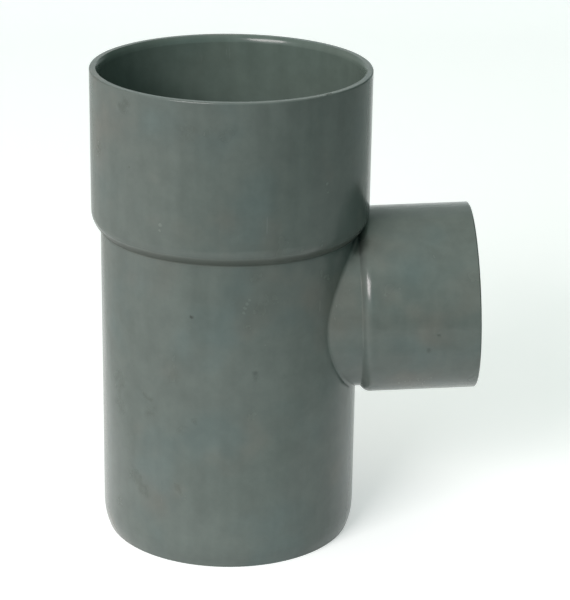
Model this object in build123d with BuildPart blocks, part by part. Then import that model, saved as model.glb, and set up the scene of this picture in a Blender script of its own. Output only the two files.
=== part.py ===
"""Reducing pipe tee for solvent-cement drain pipe, moulded in one piece.

The run goes straight up: a spigot end at the bottom, a socket on top. The smaller branch leaves the
run at 87.5 degrees and ends in a socket of its own. All sizes are in millimetres. The two axes cross
at the origin, +Z points up the run and out of its socket, and the branch points along +X.
"""

import os
from math import cos, radians, sin, sqrt

from build123d import *

os.makedirs("parts", exist_ok=True)

# Pipes that the fitting joins
RUN_PIPE_R = 55.0
RUN_WALL = 3.2
RUN_CEMENT_GAP = 0.15  # radial clearance that the solvent cement fills
BRANCH_PIPE_R = 37.5
BRANCH_WALL = 3.0
BRANCH_CEMENT_GAP = 0.1

# Run socket
RUN_STOP_ABOVE_NECK = 6.5  # from the top of the branch's neck up to the stop for the pipe's end
RUN_DEPTH = 61.0  # pipe stop to mouth
RUN_SOCKET_WALL = 3.85
RUN_LEAD_IN_W = 1.3  # curved flare at the mouth that guides the pipe in
RUN_LEAD_IN_H = 3.0
RUN_STEP_R = 9.0  # curve under the socket, where it narrows to the tube
RUN_STEP_FOOT_R = 1.0  # hollow curve where that step meets the tube

# Spigot and tube
SPIGOT_BELOW_NECK = 1.0  # room left under the branch's neck when the spigot is fully home
SPIGOT_LENGTH = RUN_DEPTH  # it fills a socket like the one on top
NOSE_H = 9.5  # the spigot's end curves in over this height, to enter a socket
NOSE_W = 1.8  # and by this much in radius
BODY_DRAFT = 0.1  # growth in radius from the spigot up to the pipe stop, to leave the mould

# Branch, measured along its own axis
BRANCH_RISE = 2.5  # degrees above square to the run
BRANCH_NECK = 5.7  # from the tube's surface out to the branch's pipe stop
BRANCH_DEPTH = 43.5
BRANCH_SOCKET_WALL = 2.5
BRANCH_STOP_BACKING = 1.7  # the socket's full outside size begins this far before the pipe stop
BRANCH_LEAD_IN_W = 1.0  # plain taper at the mouth
BRANCH_LEAD_IN_H = 2.5
BRANCH_STEP_R = 4.5
BRANCH_STEP_FOOT_R = 0.5
BRANCH_LIP = 0.5  # bevel of the outer edge at the branch's mouth
JUNCTION_R = 1.2  # small radius all round where the branch's neck meets the tube

LIP_R = 0.6  # rounding of the outer edge at the run's mouth

# Sizes worked out from the ones above: radii, then heights on the run and distances along the branch
run_lumen_r = RUN_PIPE_R - RUN_WALL
run_bore_r = RUN_PIPE_R + RUN_CEMENT_GAP
run_socket_r = run_bore_r + RUN_SOCKET_WALL
branch_lumen_r = BRANCH_PIPE_R - BRANCH_WALL
branch_bore_r = BRANCH_PIPE_R + BRANCH_CEMENT_GAP
branch_socket_r = branch_bore_r + BRANCH_SOCKET_WALL
run_stop_z = BRANCH_PIPE_R + RUN_STOP_ABOVE_NECK
run_mouth_z = run_stop_z + RUN_DEPTH
spigot_top_z = -BRANCH_PIPE_R - SPIGOT_BELOW_NECK
spigot_end_z = spigot_top_z - SPIGOT_LENGTH
branch_stop = RUN_PIPE_R + BRANCH_NECK
branch_socket_from = branch_stop - BRANCH_STOP_BACKING
branch_mouth = branch_stop + BRANCH_DEPTH


def step_length(step_r, narrowing):
    """Length along the axis over which a round step of this radius takes in this much."""
    return sqrt(step_r**2 - (step_r - narrowing) ** 2)


run_step_top = (run_socket_r, run_stop_z)
run_step_foot = (RUN_PIPE_R, run_stop_z - step_length(RUN_STEP_R, run_socket_r - RUN_PIPE_R))
branch_step_top = (branch_socket_from, branch_socket_r)
branch_step_foot = (
    branch_socket_from - step_length(BRANCH_STEP_R, branch_socket_r - BRANCH_PIPE_R),
    BRANCH_PIPE_R,
)
run_step_root_z = run_step_foot[1] - 2 * RUN_STEP_FOOT_R  # inside the tube, below the hollow curve
branch_step_root = branch_step_foot[0] - 2 * BRANCH_STEP_FOOT_R
run_flare_foot = (run_bore_r, run_mouth_z - RUN_LEAD_IN_H)
run_flare_edge = (run_bore_r + RUN_LEAD_IN_W, run_mouth_z)
nose_top = (RUN_PIPE_R, spigot_end_z + NOSE_H)
nose_end = (RUN_PIPE_R - NOSE_W, spigot_end_z)

# The branch's section plane has x along the branch and y as the radius
branch_dir = (cos(radians(BRANCH_RISE)), 0, sin(radians(BRANCH_RISE)))
branch_section = Plane(origin=(0, 0, 0), x_dir=branch_dir, z_dir=(0, -1, 0))
branch_axis = Axis((0, 0, 0), branch_dir)

with BuildPart() as pipe_tee:
    # Tube with its round-nosed spigot end, solid for now
    with BuildSketch(Plane.XZ):
        with BuildLine():
            TangentArc(nose_top, nose_end, tangent=(0, -1))
            Polyline(
                nose_end,
                (0, spigot_end_z),
                (0, run_stop_z),
                (RUN_PIPE_R + BODY_DRAFT, run_stop_z),
                (RUN_PIPE_R, spigot_top_z),
                nose_top,
            )
        make_face()
    revolve(axis=Axis.Z)

    # Neck of the branch, blended into the tube while both are still plain
    with BuildSketch(Plane(origin=(0, 0, 0), z_dir=branch_dir)):
        Circle(BRANCH_PIPE_R)
    extrude(amount=branch_stop)
    junction = pipe_tee.edges().filter_by(GeomType.BSPLINE)
    fillet(junction, radius=JUNCTION_R)

    # Run socket outside: round step up from the tube with a hollow foot, then the plain wall and its lip
    with BuildSketch(Plane.XZ) as run_socket_section:
        with BuildLine():
            RadiusArc(run_step_foot, run_step_top, -RUN_STEP_R)
            Polyline(
                run_step_top,
                (run_socket_r, run_mouth_z),
                (0, run_mouth_z),
                (0, run_step_root_z),
                (RUN_PIPE_R, run_step_root_z),
                run_step_foot,
            )
        make_face()
        foot_corner = run_socket_section.vertices().sort_by_distance((*run_step_foot, 0))[0]
        fillet(foot_corner, radius=RUN_STEP_FOOT_R)
    revolve(axis=Axis.Z)
    run_mouth_face = pipe_tee.faces().sort_by(Axis.Z)[-1]
    fillet(run_mouth_face.edges(), radius=LIP_R)

    # Branch socket outside, made the same way along the branch
    with BuildSketch(branch_section) as branch_socket_section:
        with BuildLine():
            RadiusArc(branch_step_foot, branch_step_top, BRANCH_STEP_R)
            Polyline(
                branch_step_top,
                (branch_mouth, branch_socket_r),
                (branch_mouth, 0),
                (branch_step_root, 0),
                (branch_step_root, BRANCH_PIPE_R),
                branch_step_foot,
            )
        make_face()
        foot_corner = branch_socket_section.vertices().sort_by_distance((*branch_step_foot, 0))[0]
        fillet(foot_corner, radius=BRANCH_STEP_FOOT_R)
    revolve(axis=branch_axis)
    branch_mouth_face = pipe_tee.faces().sort_by(branch_axis)[-1]
    chamfer(branch_mouth_face.edges(), length=BRANCH_LIP)

    # Hollow of the run: lumen right through, pipe stop, socket bore and its flared mouth
    with BuildSketch(Plane.XZ):
        with BuildLine():
            TangentArc(run_flare_foot, run_flare_edge, tangent=(0, 1))
            Polyline(
                run_flare_edge,
                (0, run_mouth_z),
                (0, spigot_end_z),
                (run_lumen_r, spigot_end_z),
                (run_lumen_r, run_stop_z),
                (run_bore_r, run_stop_z),
                run_flare_foot,
            )
        make_face()
    revolve(axis=Axis.Z, mode=Mode.SUBTRACT)

    # Hollow of the branch, which opens into the run's lumen
    with BuildSketch(branch_section):
        Polygon(
            (0, 0),
            (0, branch_lumen_r),
            (branch_stop, branch_lumen_r),
            (branch_stop, branch_bore_r),
            (branch_mouth - BRANCH_LEAD_IN_H, branch_bore_r),
            (branch_mouth, branch_bore_r + BRANCH_LEAD_IN_W),
            (branch_mouth, 0),
            align=None,
        )
    revolve(axis=branch_axis, mode=Mode.SUBTRACT)

pipe_tee.part.label = "pipe_tee"
export_step(pipe_tee.part, "parts/pipe_tee.step")

print("volume", round(pipe_tee.part.volume / 1000, 1), "cm3, valid", pipe_tee.part.is_valid)
print("box", pipe_tee.part.bounding_box())
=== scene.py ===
from math import cos, pi, radians, sin

import bpy
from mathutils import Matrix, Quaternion, Vector


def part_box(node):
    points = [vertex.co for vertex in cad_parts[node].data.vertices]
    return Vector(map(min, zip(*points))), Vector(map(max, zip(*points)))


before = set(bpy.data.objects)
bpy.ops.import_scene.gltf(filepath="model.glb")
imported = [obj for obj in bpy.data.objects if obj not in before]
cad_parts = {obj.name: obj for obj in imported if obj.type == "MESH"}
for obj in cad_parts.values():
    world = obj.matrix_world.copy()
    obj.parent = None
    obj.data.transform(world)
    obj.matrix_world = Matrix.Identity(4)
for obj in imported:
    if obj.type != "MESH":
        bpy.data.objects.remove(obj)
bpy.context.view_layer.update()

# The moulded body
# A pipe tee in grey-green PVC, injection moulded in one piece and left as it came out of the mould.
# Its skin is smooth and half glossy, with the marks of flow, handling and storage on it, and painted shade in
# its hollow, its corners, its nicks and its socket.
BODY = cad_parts["pipe_tee"]
TUBE_R = 0.055
SOCKET_R = 0.059
BRANCH_R = 0.0401
BRANCH_RISE = radians(2.5)
STEP_FOOT_Z = 0.0362
RUN_MOUTH_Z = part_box("pipe_tee")[1].z
SPIGOT_END_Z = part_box("pipe_tee")[0].z

PVC = (0.113, 0.134, 0.123, 1)
PVC_WARM = (0.127, 0.134, 0.119, 1)
PVC_COOL = (0.104, 0.134, 0.128, 1)
PVC_UNWORN_AND_SHADED = (0.092, 0.122, 0.105, 1)
# Grime for the smudges and specks, and also the painted shade in the hollow under the run socket
GRIME_AND_SHADE = (0.060, 0.070, 0.058, 1)
# Painted shade, for the insides of the dark nicks and the corners between the steps
NICK_SHADE = (0.040, 0.048, 0.042, 1)
CHALK = (0.30, 0.33, 0.31, 1)
PVC_IOR = 1.53
SPECULAR_LEVEL = 0.33


def add_node(tree, kind, values=None, **settings):
    """A new node with its settings, and its input sockets set or linked by name or number."""
    node = tree.nodes.new(kind)
    for name, value in settings.items():
        setattr(node, name, value)
    for socket, value in (values or {}).items():
        if isinstance(value, bpy.types.NodeSocket):
            tree.links.new(value, node.inputs[socket])
        else:
            node.inputs[socket].default_value = value
    return node


def maths(tree, operation, a, b=0.0):
    """The result of one operation on two numbers or sockets."""
    return add_node(tree, "ShaderNodeMath", {0: a, 1: b}, operation=operation).outputs[0]


def vector_maths(tree, operation, values, result="Vector"):
    """The result of one operation on places: a vector, or the value of a length or a distance."""
    return add_node(tree, "ShaderNodeVectorMath", values, operation=operation).outputs[result]


def ramp(tree, value, low, high, to_low=0.0, to_high=1.0):
    """A smooth passage from one number to another while the value goes from low to high."""
    values = {"Value": value, "From Min": low, "From Max": high, "To Min": to_low, "To Max": to_high}
    return add_node(tree, "ShaderNodeMapRange", values, interpolation_type="SMOOTHSTEP").outputs["Result"]


def blend_colour(tree, amount, first, second, mode="MIX"):
    """The second colour over the first, by the amount."""
    values = {"Factor": amount, "A": first, "B": second}
    mix = tree.nodes.new("ShaderNodeMix")
    mix.data_type = "RGBA"
    mix.blend_type = mode
    for socket in mix.inputs:
        if socket.type in ("RGBA", "VALUE") and socket.enabled and socket.name in values:
            value = values[socket.name]
            if isinstance(value, bpy.types.NodeSocket):
                tree.links.new(value, socket)
            else:
                socket.default_value = value
    return next(socket for socket in mix.outputs if socket.type == "RGBA" and socket.enabled)


def layered(tree, colour, layers):
    """The colour under several thin layers, each with its mask, its strength and its own colour."""
    for mask, strength, tint in layers:
        colour = blend_colour(tree, maths(tree, "MULTIPLY", mask, strength), colour, tint)
    return colour


def stretched(tree, place, scale):
    """The place scaled along each axis, to draw a texture out in one direction."""
    return add_node(tree, "ShaderNodeMapping", {"Vector": place, "Scale": scale}).outputs["Vector"]


def noise(tree, place, scale, detail, roughness=0.5):
    """Noise from 0 to 1 with this many waves in a metre."""
    values = {"Vector": place, "Scale": scale, "Detail": detail, "Roughness": roughness}
    return add_node(tree, "ShaderNodeTexNoise", values).outputs["Fac"]


def new_group(name, inputs, outputs):
    """An empty node group with these named sockets, and its place socket first."""
    group = bpy.data.node_groups.new(name, "ShaderNodeTree")
    group.interface.new_socket("Place", in_out="INPUT", socket_type="NodeSocketVector")
    for label, value in inputs.items():
        socket = group.interface.new_socket(label, in_out="INPUT", socket_type="NodeSocketFloat")
        socket.default_value = value
    for label in outputs:
        group.interface.new_socket(label, in_out="OUTPUT", socket_type="NodeSocketFloat")
    entry = group.nodes.new("NodeGroupInput")
    leave = group.nodes.new("NodeGroupOutput")
    return group, entry.outputs, leave.inputs


# The moulding's own pattern: where tints begin, how far streaks are drawn out, and the peel's share
PATCH_FADE = (0.50, 0.72)
PATCH_SHIFT = (0.31, 0.17, 0.43)
STREAK_STRETCH = (1.0, 1.0, 0.12)
PEEL_SHARE = 0.25


def moulded_skin():
    """Tints where the melt cooled, flow streaks up the run, mottling, and fine orange peel."""
    waves = {
        "Patches per metre": 30.0,
        "Streaks per metre": 160.0,
        "Mottle per metre": 120.0,
        "Peel per metre": 900.0,
        "Ripples per metre": 70.0,
    }
    group, entry, leave = new_group("moulded skin", waves, ("Warm", "Cool", "Streaks", "Mottle", "Height"))
    place = entry["Place"]
    patches = noise(group, place, entry["Patches per metre"], detail=2.0)
    shifted = vector_maths(group, "ADD", {0: place, 1: PATCH_SHIFT})
    other_patches = noise(group, shifted, entry["Patches per metre"], detail=2.0)
    drawn_out = stretched(group, place, STREAK_STRETCH)
    streaks = noise(group, drawn_out, entry["Streaks per metre"], detail=2.0)
    mottle = noise(group, place, entry["Mottle per metre"], detail=4.0, roughness=0.65)
    peel = noise(group, place, entry["Peel per metre"], detail=1.0)
    ripple = noise(group, place, entry["Ripples per metre"], detail=1.0)
    height = maths(group, "ADD", maths(group, "MULTIPLY", peel, PEEL_SHARE), ripple)
    group.links.new(ramp(group, patches, *PATCH_FADE), leave["Warm"])
    group.links.new(ramp(group, other_patches, *PATCH_FADE), leave["Cool"])
    group.links.new(streaks, leave["Streaks"])
    group.links.new(mottle, leave["Mottle"])
    group.links.new(height, leave["Height"])
    return group


# Where each kind of wear begins and is full, and the share of places that stay free of specks
SMUDGE_FADE = (0.52, 0.78)
GRIPPED_FADE = (0.48, 0.68)
HAIR_STRETCH = (1.0, 1.0, 0.05)
HAIR_FADE = (0.60, 0.74)
RUBBED_FADE = (0.55, 0.72)
SPECK_FADE = (0.05, 0.02)
FREE_OF_SPECKS = 0.86


def handling_marks():
    """Where the tee was gripped and stacked: smudges, hairline scuffs, and a few specks in the plastic."""
    waves = {
        "Smudges per metre": 45.0,
        "Grips per metre": 11.0,
        "Hairs per metre": 900.0,
        "Rubs per metre": 30.0,
        "Specks per metre": 75.0,
    }
    group, entry, leave = new_group("handling marks", waves, ("Smudge", "Scuff", "Speck"))
    place = entry["Place"]
    cloud = noise(group, place, entry["Smudges per metre"], detail=4.0, roughness=0.6)
    gripped = noise(group, place, entry["Grips per metre"], detail=1.0)
    smudge = maths(group, "MULTIPLY", ramp(group, cloud, *SMUDGE_FADE), ramp(group, gripped, *GRIPPED_FADE))
    drawn_out = stretched(group, place, HAIR_STRETCH)
    hairs = noise(group, drawn_out, entry["Hairs per metre"], detail=2.0, roughness=0.7)
    rubbed = noise(group, place, entry["Rubs per metre"], detail=2.0)
    scuff = maths(group, "MULTIPLY", ramp(group, hairs, *HAIR_FADE), ramp(group, rubbed, *RUBBED_FADE))
    cells = add_node(group, "ShaderNodeTexVoronoi", {"Vector": place, "Scale": entry["Specks per metre"]})
    chance = add_node(group, "ShaderNodeSeparateColor", {"Color": cells.outputs["Color"]}).outputs["Red"]
    chosen = maths(group, "GREATER_THAN", chance, FREE_OF_SPECKS)
    speck = maths(group, "MULTIPLY", ramp(group, cells.outputs["Distance"], *SPECK_FADE), chosen)
    group.links.new(smudge, leave["Smudge"])
    group.links.new(scuff, leave["Scuff"])
    group.links.new(speck, leave["Speck"])
    return group


def on_tube(turn, height, radius=TUBE_R):
    """A place on the tube or the run socket, by degrees from straight ahead towards the branch."""
    return Vector((radius * sin(radians(turn)), -radius * cos(radians(turn)), height))


def on_branch(along, turn):
    """A place on the branch socket, by its distance along the branch and degrees above straight ahead."""
    across = -BRANCH_R * cos(radians(turn))
    up = BRANCH_R * sin(radians(turn))
    forward = along * cos(BRANCH_RISE) - up * sin(BRANCH_RISE)
    return Vector((forward, across, along * sin(BRANCH_RISE) + up * cos(BRANCH_RISE)))


# Each mark has its place, its radius, and how strongly it shows
# The dark nicks are small dents, and their dark colour is painted shade inside them
DARK_NICKS = [
    (on_tube(-17.6, 0.0136), 0.0011, 1.0),
    (on_tube(-17.1, 0.0138), 0.0008, 0.6),
    (on_tube(10.0, -0.0104), 0.0017, 0.45),
    (on_tube(10.5, -0.0128), 0.0014, 0.3),
    (on_tube(39.4, RUN_MOUTH_Z, 0.0583), 0.0009, 1.0),
    (on_tube(40.6, RUN_MOUTH_Z, 0.0582), 0.0009, 1.0),
    (on_tube(41.8, RUN_MOUTH_Z, 0.0581), 0.0009, 1.0),
    (on_branch(0.0863, -4.3), 0.0010, 0.6),
    (on_branch(0.0822, -14.5), 0.0015, 0.5),
]
PALE_NICKS = [
    (on_tube(-29.5, 0.0526, SOCKET_R), 0.0010, 0.45),
    (on_tube(-29.6, 0.0501, SOCKET_R), 0.0008, 0.35),
    (on_tube(40.0, 0.0681, SOCKET_R), 0.0009, 0.8),
    (on_tube(40.6, 0.0645, SOCKET_R), 0.0007, 0.4),
    (on_tube(7.2, 0.0218), 0.0009, 0.35),
    (on_tube(6.3, 0.0201), 0.0009, 0.4),
    (on_tube(5.3, 0.0184), 0.0008, 0.35),
    (on_tube(5.1, 0.0162), 0.0008, 0.3),
]
SMUDGES = [
    (on_tube(-58.0, -0.0230), 0.0042, 0.7),
    (on_tube(-59.5, -0.0290), 0.0046, 0.6),
    (on_tube(-59.0, -0.0345), 0.0042, 0.7),
    (on_tube(-38.4, -0.0255), 0.0025, 0.9),
    (on_tube(-37.9, -0.0295), 0.0025, 0.9),
    (on_tube(-37.3, -0.0338), 0.0025, 0.8),
    (on_tube(-48.7, -0.0625), 0.0040, 0.9),
    (on_tube(-45.5, -0.0660), 0.0045, 1.0),
    (on_tube(-42.3, -0.0695), 0.0040, 0.8),
    (on_tube(-21.3, -0.0369), 0.0028, 0.6),
    (on_tube(-15.4, -0.0334), 0.0028, 0.8),
    (on_tube(-23.7, -0.0652), 0.0032, 0.8),
    (on_tube(-60.0, -0.0800), 0.0045, 0.7),
    (on_tube(-47.9, 0.0985, SOCKET_R), 0.0035, 0.9),
    (on_tube(-18.4, 0.0930, SOCKET_R), 0.0045, 0.5),
    (on_tube(-10.0, 0.0930, SOCKET_R), 0.0045, 0.5),
    (on_tube(-2.9, 0.0931, SOCKET_R), 0.0045, 0.5),
    (on_tube(-66.9, 0.0759, SOCKET_R), 0.0035, 0.8),
]
# Painted shade in the narrow corners between the run socket's step and the branch, on both sides
CORNER_SHADE = [
    (Vector((0.0535, -0.0209, 0.0335)), 0.0065, 1.0),
    (Vector((0.0535, 0.0209, 0.0335)), 0.0065, 1.0),
]
FULL_AT = 0.35


def marked(tree, place, marks):
    """A mask of round marks, which show fully at their middle and fade out to their radius."""
    total = None
    for spot, radius, strength in marks:
        away = vector_maths(tree, "DISTANCE", {0: place, 1: spot}, "Value")
        mask = ramp(tree, away, radius, radius * FULL_AT, 0.0, strength)
        total = mask if total is None else maths(tree, "MAXIMUM", total, mask)
    return total


def shaken(tree, place, scale, detail, reach):
    """The place pushed about by noise, so that what is drawn there has a ragged edge."""
    values = {"Vector": place, "Scale": scale, "Detail": detail}
    push = add_node(tree, "ShaderNodeTexNoise", values).outputs["Color"]
    push = vector_maths(tree, "ADD", {0: push, 1: (-0.5, -0.5, -0.5)})
    push = vector_maths(tree, "SCALE", {0: push, "Scale": reach})
    return vector_maths(tree, "ADD", {0: place, 1: push})


# Where the painted shade in the hollow under the run socket and the darker inside of the socket begin, and
# where each is full
HOLLOW_FROM_TUBE = (TUBE_R - 0.001, TUBE_R - 0.0005)
HOLLOW_FROM_AIR = (SOCKET_R + 0.001, SOCKET_R)
HOLLOW_FROM_BELOW = (STEP_FOOT_Z - 0.0008, STEP_FOOT_Z + 0.0004)
HOLLOW_FROM_ABOVE = (STEP_FOOT_Z + 0.0048, STEP_FOOT_Z + 0.0026)
INSIDE_FROM_WALL = (SOCKET_R - 0.002, SOCKET_R - 0.003)
INSIDE_FROM_BELOW = (STEP_FOOT_Z + 0.005, STEP_FOOT_Z + 0.007)


def from_axis(tree, place):
    """How far each place is from the axis of the run, and how high it is."""
    axes = add_node(tree, "ShaderNodeSeparateXYZ", {"Vector": place}).outputs
    flat = add_node(tree, "ShaderNodeCombineXYZ", {"X": axes["X"], "Y": axes["Y"]}).outputs["Vector"]
    return vector_maths(tree, "LENGTH", {0: flat}, "Value"), axes["Z"]


def painted_hollow_shade(tree, outward, level):
    """A mask of painted shade all round the tube, in the hollow under the run socket."""
    mask = ramp(tree, outward, *HOLLOW_FROM_TUBE)
    limits = ((outward, HOLLOW_FROM_AIR), (level, HOLLOW_FROM_BELOW), (level, HOLLOW_FROM_ABOVE))
    for value, fade in limits:
        mask = maths(tree, "MULTIPLY", mask, ramp(tree, value, *fade))
    return mask


def socket_inside(tree, outward, level):
    """A mask of the inside of the run socket, drawn darker and greener: plastic that wear reaches less, with
    painted shade where less light reaches.
    """
    within = ramp(tree, outward, *INSIDE_FROM_WALL)
    return maths(tree, "MULTIPLY", within, ramp(tree, level, *INSIDE_FROM_BELOW))


# How ragged the marks' edges are, and the skin's shades, its roughness and its relief in metres
NICK_EDGE = {"scale": 900.0, "detail": 2.0, "reach": 0.0016}
SMUDGE_EDGE = {"scale": 220.0, "detail": 3.0, "reach": 0.014}
SHADE_FADE = (0.25, 0.75)
STREAK_SHADES = (0.96, 1.04)
MOTTLE_SHADES = (0.93, 1.07)
GLOSS_FADE = (0.3, 0.7)
ROUGHNESSES = (0.19, 0.24)
RELIEF = 0.00001
NICK_DEPTH = 6.0


def moulded_pvc(name):
    """Half glossy grey-green PVC, tinted, scuffed and marked by the groups and masks above, with painted
    shade in the hollow under the socket, the corners by the branch, the nicks and the socket's inside.
    """
    material = bpy.data.materials.new(name)
    material.use_nodes = True
    tree = material.node_tree
    surface = tree.nodes["Principled BSDF"]
    place = add_node(tree, "ShaderNodeTexCoord").outputs["Object"]
    skin = add_node(tree, "ShaderNodeGroup", {"Place": place}, node_tree=moulded_skin()).outputs
    worn = add_node(tree, "ShaderNodeGroup", {"Place": place}, node_tree=handling_marks()).outputs
    ragged = shaken(tree, place, **NICK_EDGE)
    dark = marked(tree, ragged, DARK_NICKS)
    pale = marked(tree, ragged, PALE_NICKS)
    corners = marked(tree, ragged, CORNER_SHADE)
    smudged = marked(tree, shaken(tree, place, **SMUDGE_EDGE), SMUDGES)
    outward, level = from_axis(tree, place)
    # Painted shade in the hollow under the run socket
    hollow = painted_hollow_shade(tree, outward, level)
    unworn_and_shaded = socket_inside(tree, outward, level)

    # The inside of the run socket is tinted darker: unworn plastic, and painted shade
    tints = [(skin["Warm"], 1.0, PVC_WARM), (skin["Cool"], 0.8, PVC_COOL), (unworn_and_shaded, 0.85, PVC_UNWORN_AND_SHADED)]
    dirt_and_shade = [
        (worn["Smudge"], 0.38, GRIME_AND_SHADE),
        (smudged, 0.34, GRIME_AND_SHADE),
        (worn["Speck"], 0.55, GRIME_AND_SHADE),
        (worn["Scuff"], 0.05, CHALK),
        # painted shade inside the dark nicks
        (dark, 0.85, NICK_SHADE),
        # painted shade in the hollow under the run socket
        (hollow, 0.75, GRIME_AND_SHADE),
        # painted shade in the corners between the steps
        (corners, 0.70, NICK_SHADE),
        (pale, 0.30, CHALK),
    ]
    streaks = ramp(tree, skin["Streaks"], *SHADE_FADE, *STREAK_SHADES)
    shade = maths(tree, "MULTIPLY", streaks, ramp(tree, skin["Mottle"], *SHADE_FADE, *MOTTLE_SHADES))
    grey = add_node(tree, "ShaderNodeCombineColor", {0: shade, 1: shade, 2: shade}).outputs["Color"]
    plastic = blend_colour(tree, 1.0, layered(tree, PVC, tints), grey, mode="MULTIPLY")
    tree.links.new(layered(tree, plastic, dirt_and_shade), surface.inputs["Base Color"])

    nicked = maths(tree, "MAXIMUM", dark, pale)
    rougher = [(worn["Smudge"], 0.16), (smudged, 0.12), (worn["Scuff"], 0.12), (nicked, 0.35), (hollow, 0.30)]
    rough = ramp(tree, skin["Streaks"], *GLOSS_FADE, *ROUGHNESSES)
    for mask, more in rougher:
        rough = maths(tree, "ADD", rough, maths(tree, "MULTIPLY", mask, more))
    tree.links.new(rough, surface.inputs["Roughness"])

    height = maths(tree, "SUBTRACT", skin["Height"], maths(tree, "MULTIPLY", dark, NICK_DEPTH))
    bump = add_node(tree, "ShaderNodeBump", {"Height": height, "Strength": 1.0, "Distance": RELIEF})
    tree.links.new(bump.outputs["Normal"], surface.inputs["Normal"])
    surface.inputs["IOR"].default_value = PVC_IOR
    surface.inputs["Specular IOR Level"].default_value = SPECULAR_LEVEL
    return material


BODY.data.materials.clear()
BODY.data.materials.append(moulded_pvc("grey PVC"))

# The paper sweep under and behind the tee
# White studio paper, cut to a blunt point about a foot in front of the tee and curved up behind it.
# Round and behind the tee it glows to white for camera and reflections, and it keeps the tee's shadow.
PAPER_WHITE = (0.80, 0.81, 0.81, 1)
PAPER_ROUGHNESS = 0.9
PAPER_HALF_WIDTH = 1.1
PAPER_BEND_FROM = 0.9
PAPER_BEND_R = 0.5
PAPER_BEND_STEPS = 24
PAPER_TOP = 1.6

# The point of the front edge, and how far back the edge runs for each metre aside
PAPER_FRONT = -0.337
PAPER_CUT_LEFT = 0.34
PAPER_CUT_RIGHT = 0.18

# The glow, where it fades in front, behind and at the sides, and how it shifts and widens per metre back
PAPER_GLOW = 0.45
GLOW_IN_FRONT = (-0.115, -0.085)
GLOW_BEHIND = (1.45, 1.30)
GLOW_AT_SIDES = (0.22, 0.15)
GLOW_MIDDLE = 0.027
GLOW_DRIFT = 0.05
GLOW_SPREAD = 0.143


def paper_sweep(name):
    """One smooth sheet in two halves: a pointed front edge, straight, a quarter bend, and straight up."""
    rows = [(PAPER_BEND_FROM, SPIGOT_END_Z)]
    for step in range(1, PAPER_BEND_STEPS + 1):
        turn = pi / 2 * step / PAPER_BEND_STEPS
        back = PAPER_BEND_FROM + PAPER_BEND_R * sin(turn)
        rows.append((back, SPIGOT_END_Z + PAPER_BEND_R * (1 - cos(turn))))
    rows.append((PAPER_BEND_FROM + PAPER_BEND_R, PAPER_TOP))
    columns = ((-PAPER_HALF_WIDTH, PAPER_CUT_LEFT), (0.0, 0.0), (PAPER_HALF_WIDTH, PAPER_CUT_RIGHT))
    corners = []
    for aside, cut in columns:
        corners.append((aside, PAPER_FRONT + abs(aside) * cut, SPIGOT_END_Z))
        corners += [(aside, back, up) for back, up in rows]
    tall = len(rows) + 1
    faces = []
    for half in range(2):
        for first in range(half * tall, half * tall + tall - 1):
            faces.append((first, first + tall, first + tall + 1, first + 1))
    mesh = bpy.data.meshes.new(name)
    mesh.from_pydata(corners, [], faces)
    for face in mesh.polygons:
        face.use_smooth = True
    sheet = bpy.data.objects.new(name, mesh)
    bpy.context.scene.collection.objects.link(sheet)
    return sheet


def white_paper(name):
    """Matt white, with a pool of glow that the camera, reflections and clear things see."""
    material = bpy.data.materials.new(name)
    material.use_nodes = True
    tree = material.node_tree
    surface = tree.nodes["Principled BSDF"]
    surface.inputs["Base Color"].default_value = PAPER_WHITE
    surface.inputs["Roughness"].default_value = PAPER_ROUGHNESS
    path = add_node(tree, "ShaderNodeLightPath").outputs
    seen = maths(tree, "MAXIMUM", path["Is Camera Ray"], path["Is Glossy Ray"])
    seen = maths(tree, "MAXIMUM", seen, path["Is Transmission Ray"])
    place = add_node(tree, "ShaderNodeTexCoord").outputs["Object"]
    axes = add_node(tree, "ShaderNodeSeparateXYZ", {"Vector": place}).outputs
    middle = maths(tree, "ADD", maths(tree, "MULTIPLY", axes["Y"], GLOW_DRIFT), GLOW_MIDDLE)
    aside = maths(tree, "ABSOLUTE", maths(tree, "SUBTRACT", axes["X"], middle))
    aside = maths(tree, "SUBTRACT", aside, maths(tree, "MULTIPLY", axes["Y"], GLOW_SPREAD))
    pool = maths(tree, "MULTIPLY", ramp(tree, aside, *GLOW_AT_SIDES), ramp(tree, axes["Y"], *GLOW_IN_FRONT))
    pool = maths(tree, "MULTIPLY", pool, ramp(tree, axes["Y"], *GLOW_BEHIND))
    strength = maths(tree, "MULTIPLY", maths(tree, "MULTIPLY", seen, pool), PAPER_GLOW)
    glow = add_node(tree, "ShaderNodeEmission", {"Strength": strength})
    both = add_node(tree, "ShaderNodeAddShader", {0: surface.outputs["BSDF"], 1: glow.outputs["Emission"]})
    tree.links.new(both.outputs["Shader"], tree.nodes["Material Output"].inputs["Surface"])
    return material


sweep = paper_sweep("paper_sweep")
sweep.data.materials.append(white_paper("white paper"))

# The room and its lamp
# One soft box stands high on the camera's left, in a dim room with a pale ceiling and a lighter wall
# on the left. Below the table in front, on the right and behind, the room is nearly dark.
ROOM_DARK = (0.02, 0.03, 0.03, 1)
ROOM_FRONT = (0.15, 0.32, 0.31, 1)
ROOM_LEFT = (0.51, 0.50, 0.46, 1)
ROOM_CEILING = (0.62, 0.67, 0.59, 1)
FRONT_FADE = (-0.3, -0.6)
TABLE_FADE = (-0.01, 0.01)
LEFT_FADE = (-0.5, -0.8)
CEILING_FADE = (0.6, 0.85)
SOFT_BOX_TURN = radians(-34)
SOFT_BOX_RISE = radians(29)
SOFT_BOX_AWAY = 1.6
SOFT_BOX_SIZE = (0.80, 0.60)
SOFT_BOX_COLOUR = (1.0, 0.92, 0.93)
SOFT_BOX_WATTS = 23.0

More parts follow.
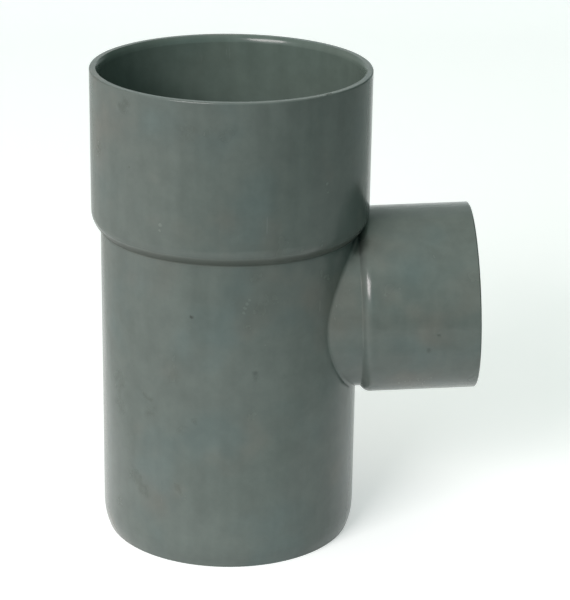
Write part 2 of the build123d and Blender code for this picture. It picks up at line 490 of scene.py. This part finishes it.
world = bpy.data.worlds.new("studio")
bpy.context.scene.world = world
world.use_nodes = True
sky = world.node_tree
direction = add_node(sky, "ShaderNodeTexCoord").outputs["Generated"]
axes = add_node(sky, "ShaderNodeSeparateXYZ", {"Vector": direction}).outputs
front = maths(sky, "MULTIPLY", ramp(sky, axes["Y"], *FRONT_FADE), ramp(sky, axes["Z"], *TABLE_FADE))
room = blend_colour(sky, front, ROOM_DARK, ROOM_FRONT, mode="ADD")
room = blend_colour(sky, ramp(sky, axes["X"], *LEFT_FADE), room, ROOM_LEFT, mode="ADD")
room = blend_colour(sky, ramp(sky, axes["Z"], *CEILING_FADE), room, ROOM_CEILING, mode="ADD")
sky.links.new(room, sky.nodes["Background"].inputs["Color"])

lamp = bpy.data.lights.new("soft_box", "AREA")
lamp.shape = "RECTANGLE"
lamp.size = SOFT_BOX_SIZE[0]
lamp.size_y = SOFT_BOX_SIZE[1]
lamp.color = SOFT_BOX_COLOUR
lamp.energy = SOFT_BOX_WATTS
soft_box = bpy.data.objects.new("soft_box", lamp)
aside = sin(SOFT_BOX_TURN) * cos(SOFT_BOX_RISE)
ahead = -cos(SOFT_BOX_TURN) * cos(SOFT_BOX_RISE)
soft_box.location = Vector((aside, ahead, sin(SOFT_BOX_RISE))) * SOFT_BOX_AWAY
soft_box.rotation_euler = (-soft_box.location).to_track_quat("-Z", "Y").to_euler()
bpy.context.scene.collection.objects.link(soft_box)

# The camera
# It stands nine tenths of a metre in front of the tee, a little to its left, and looks down on it by
# about twenty degrees. The photograph is turned clockwise by less than one degree.
CAMERA_PLACE = Vector((-0.01557, -0.87699, 0.32567))
CAMERA_AIM = Vector((0.02378, -0.00042, 0.00183))
CAMERA_ROLL = radians(0.94)
LENS_MM = 130.05
SENSOR_MM = 36.0
NEAREST = 0.05
FARTHEST = 20.0

camera_data = bpy.data.cameras.new("camera")
camera_data.lens = LENS_MM
camera_data.sensor_width = SENSOR_MM
camera_data.clip_start = NEAREST
camera_data.clip_end = FARTHEST
camera = bpy.data.objects.new("camera", camera_data)
camera.location = CAMERA_PLACE
camera.rotation_mode = "QUATERNION"
level = (CAMERA_AIM - CAMERA_PLACE).to_track_quat("-Z", "Y")
camera.rotation_quaternion = level @ Quaternion((0, 0, 1), CAMERA_ROLL)
bpy.context.scene.collection.objects.link(camera)
bpy.context.scene.camera = camera
bpy.context.scene.view_settings.view_transform = "Standard"
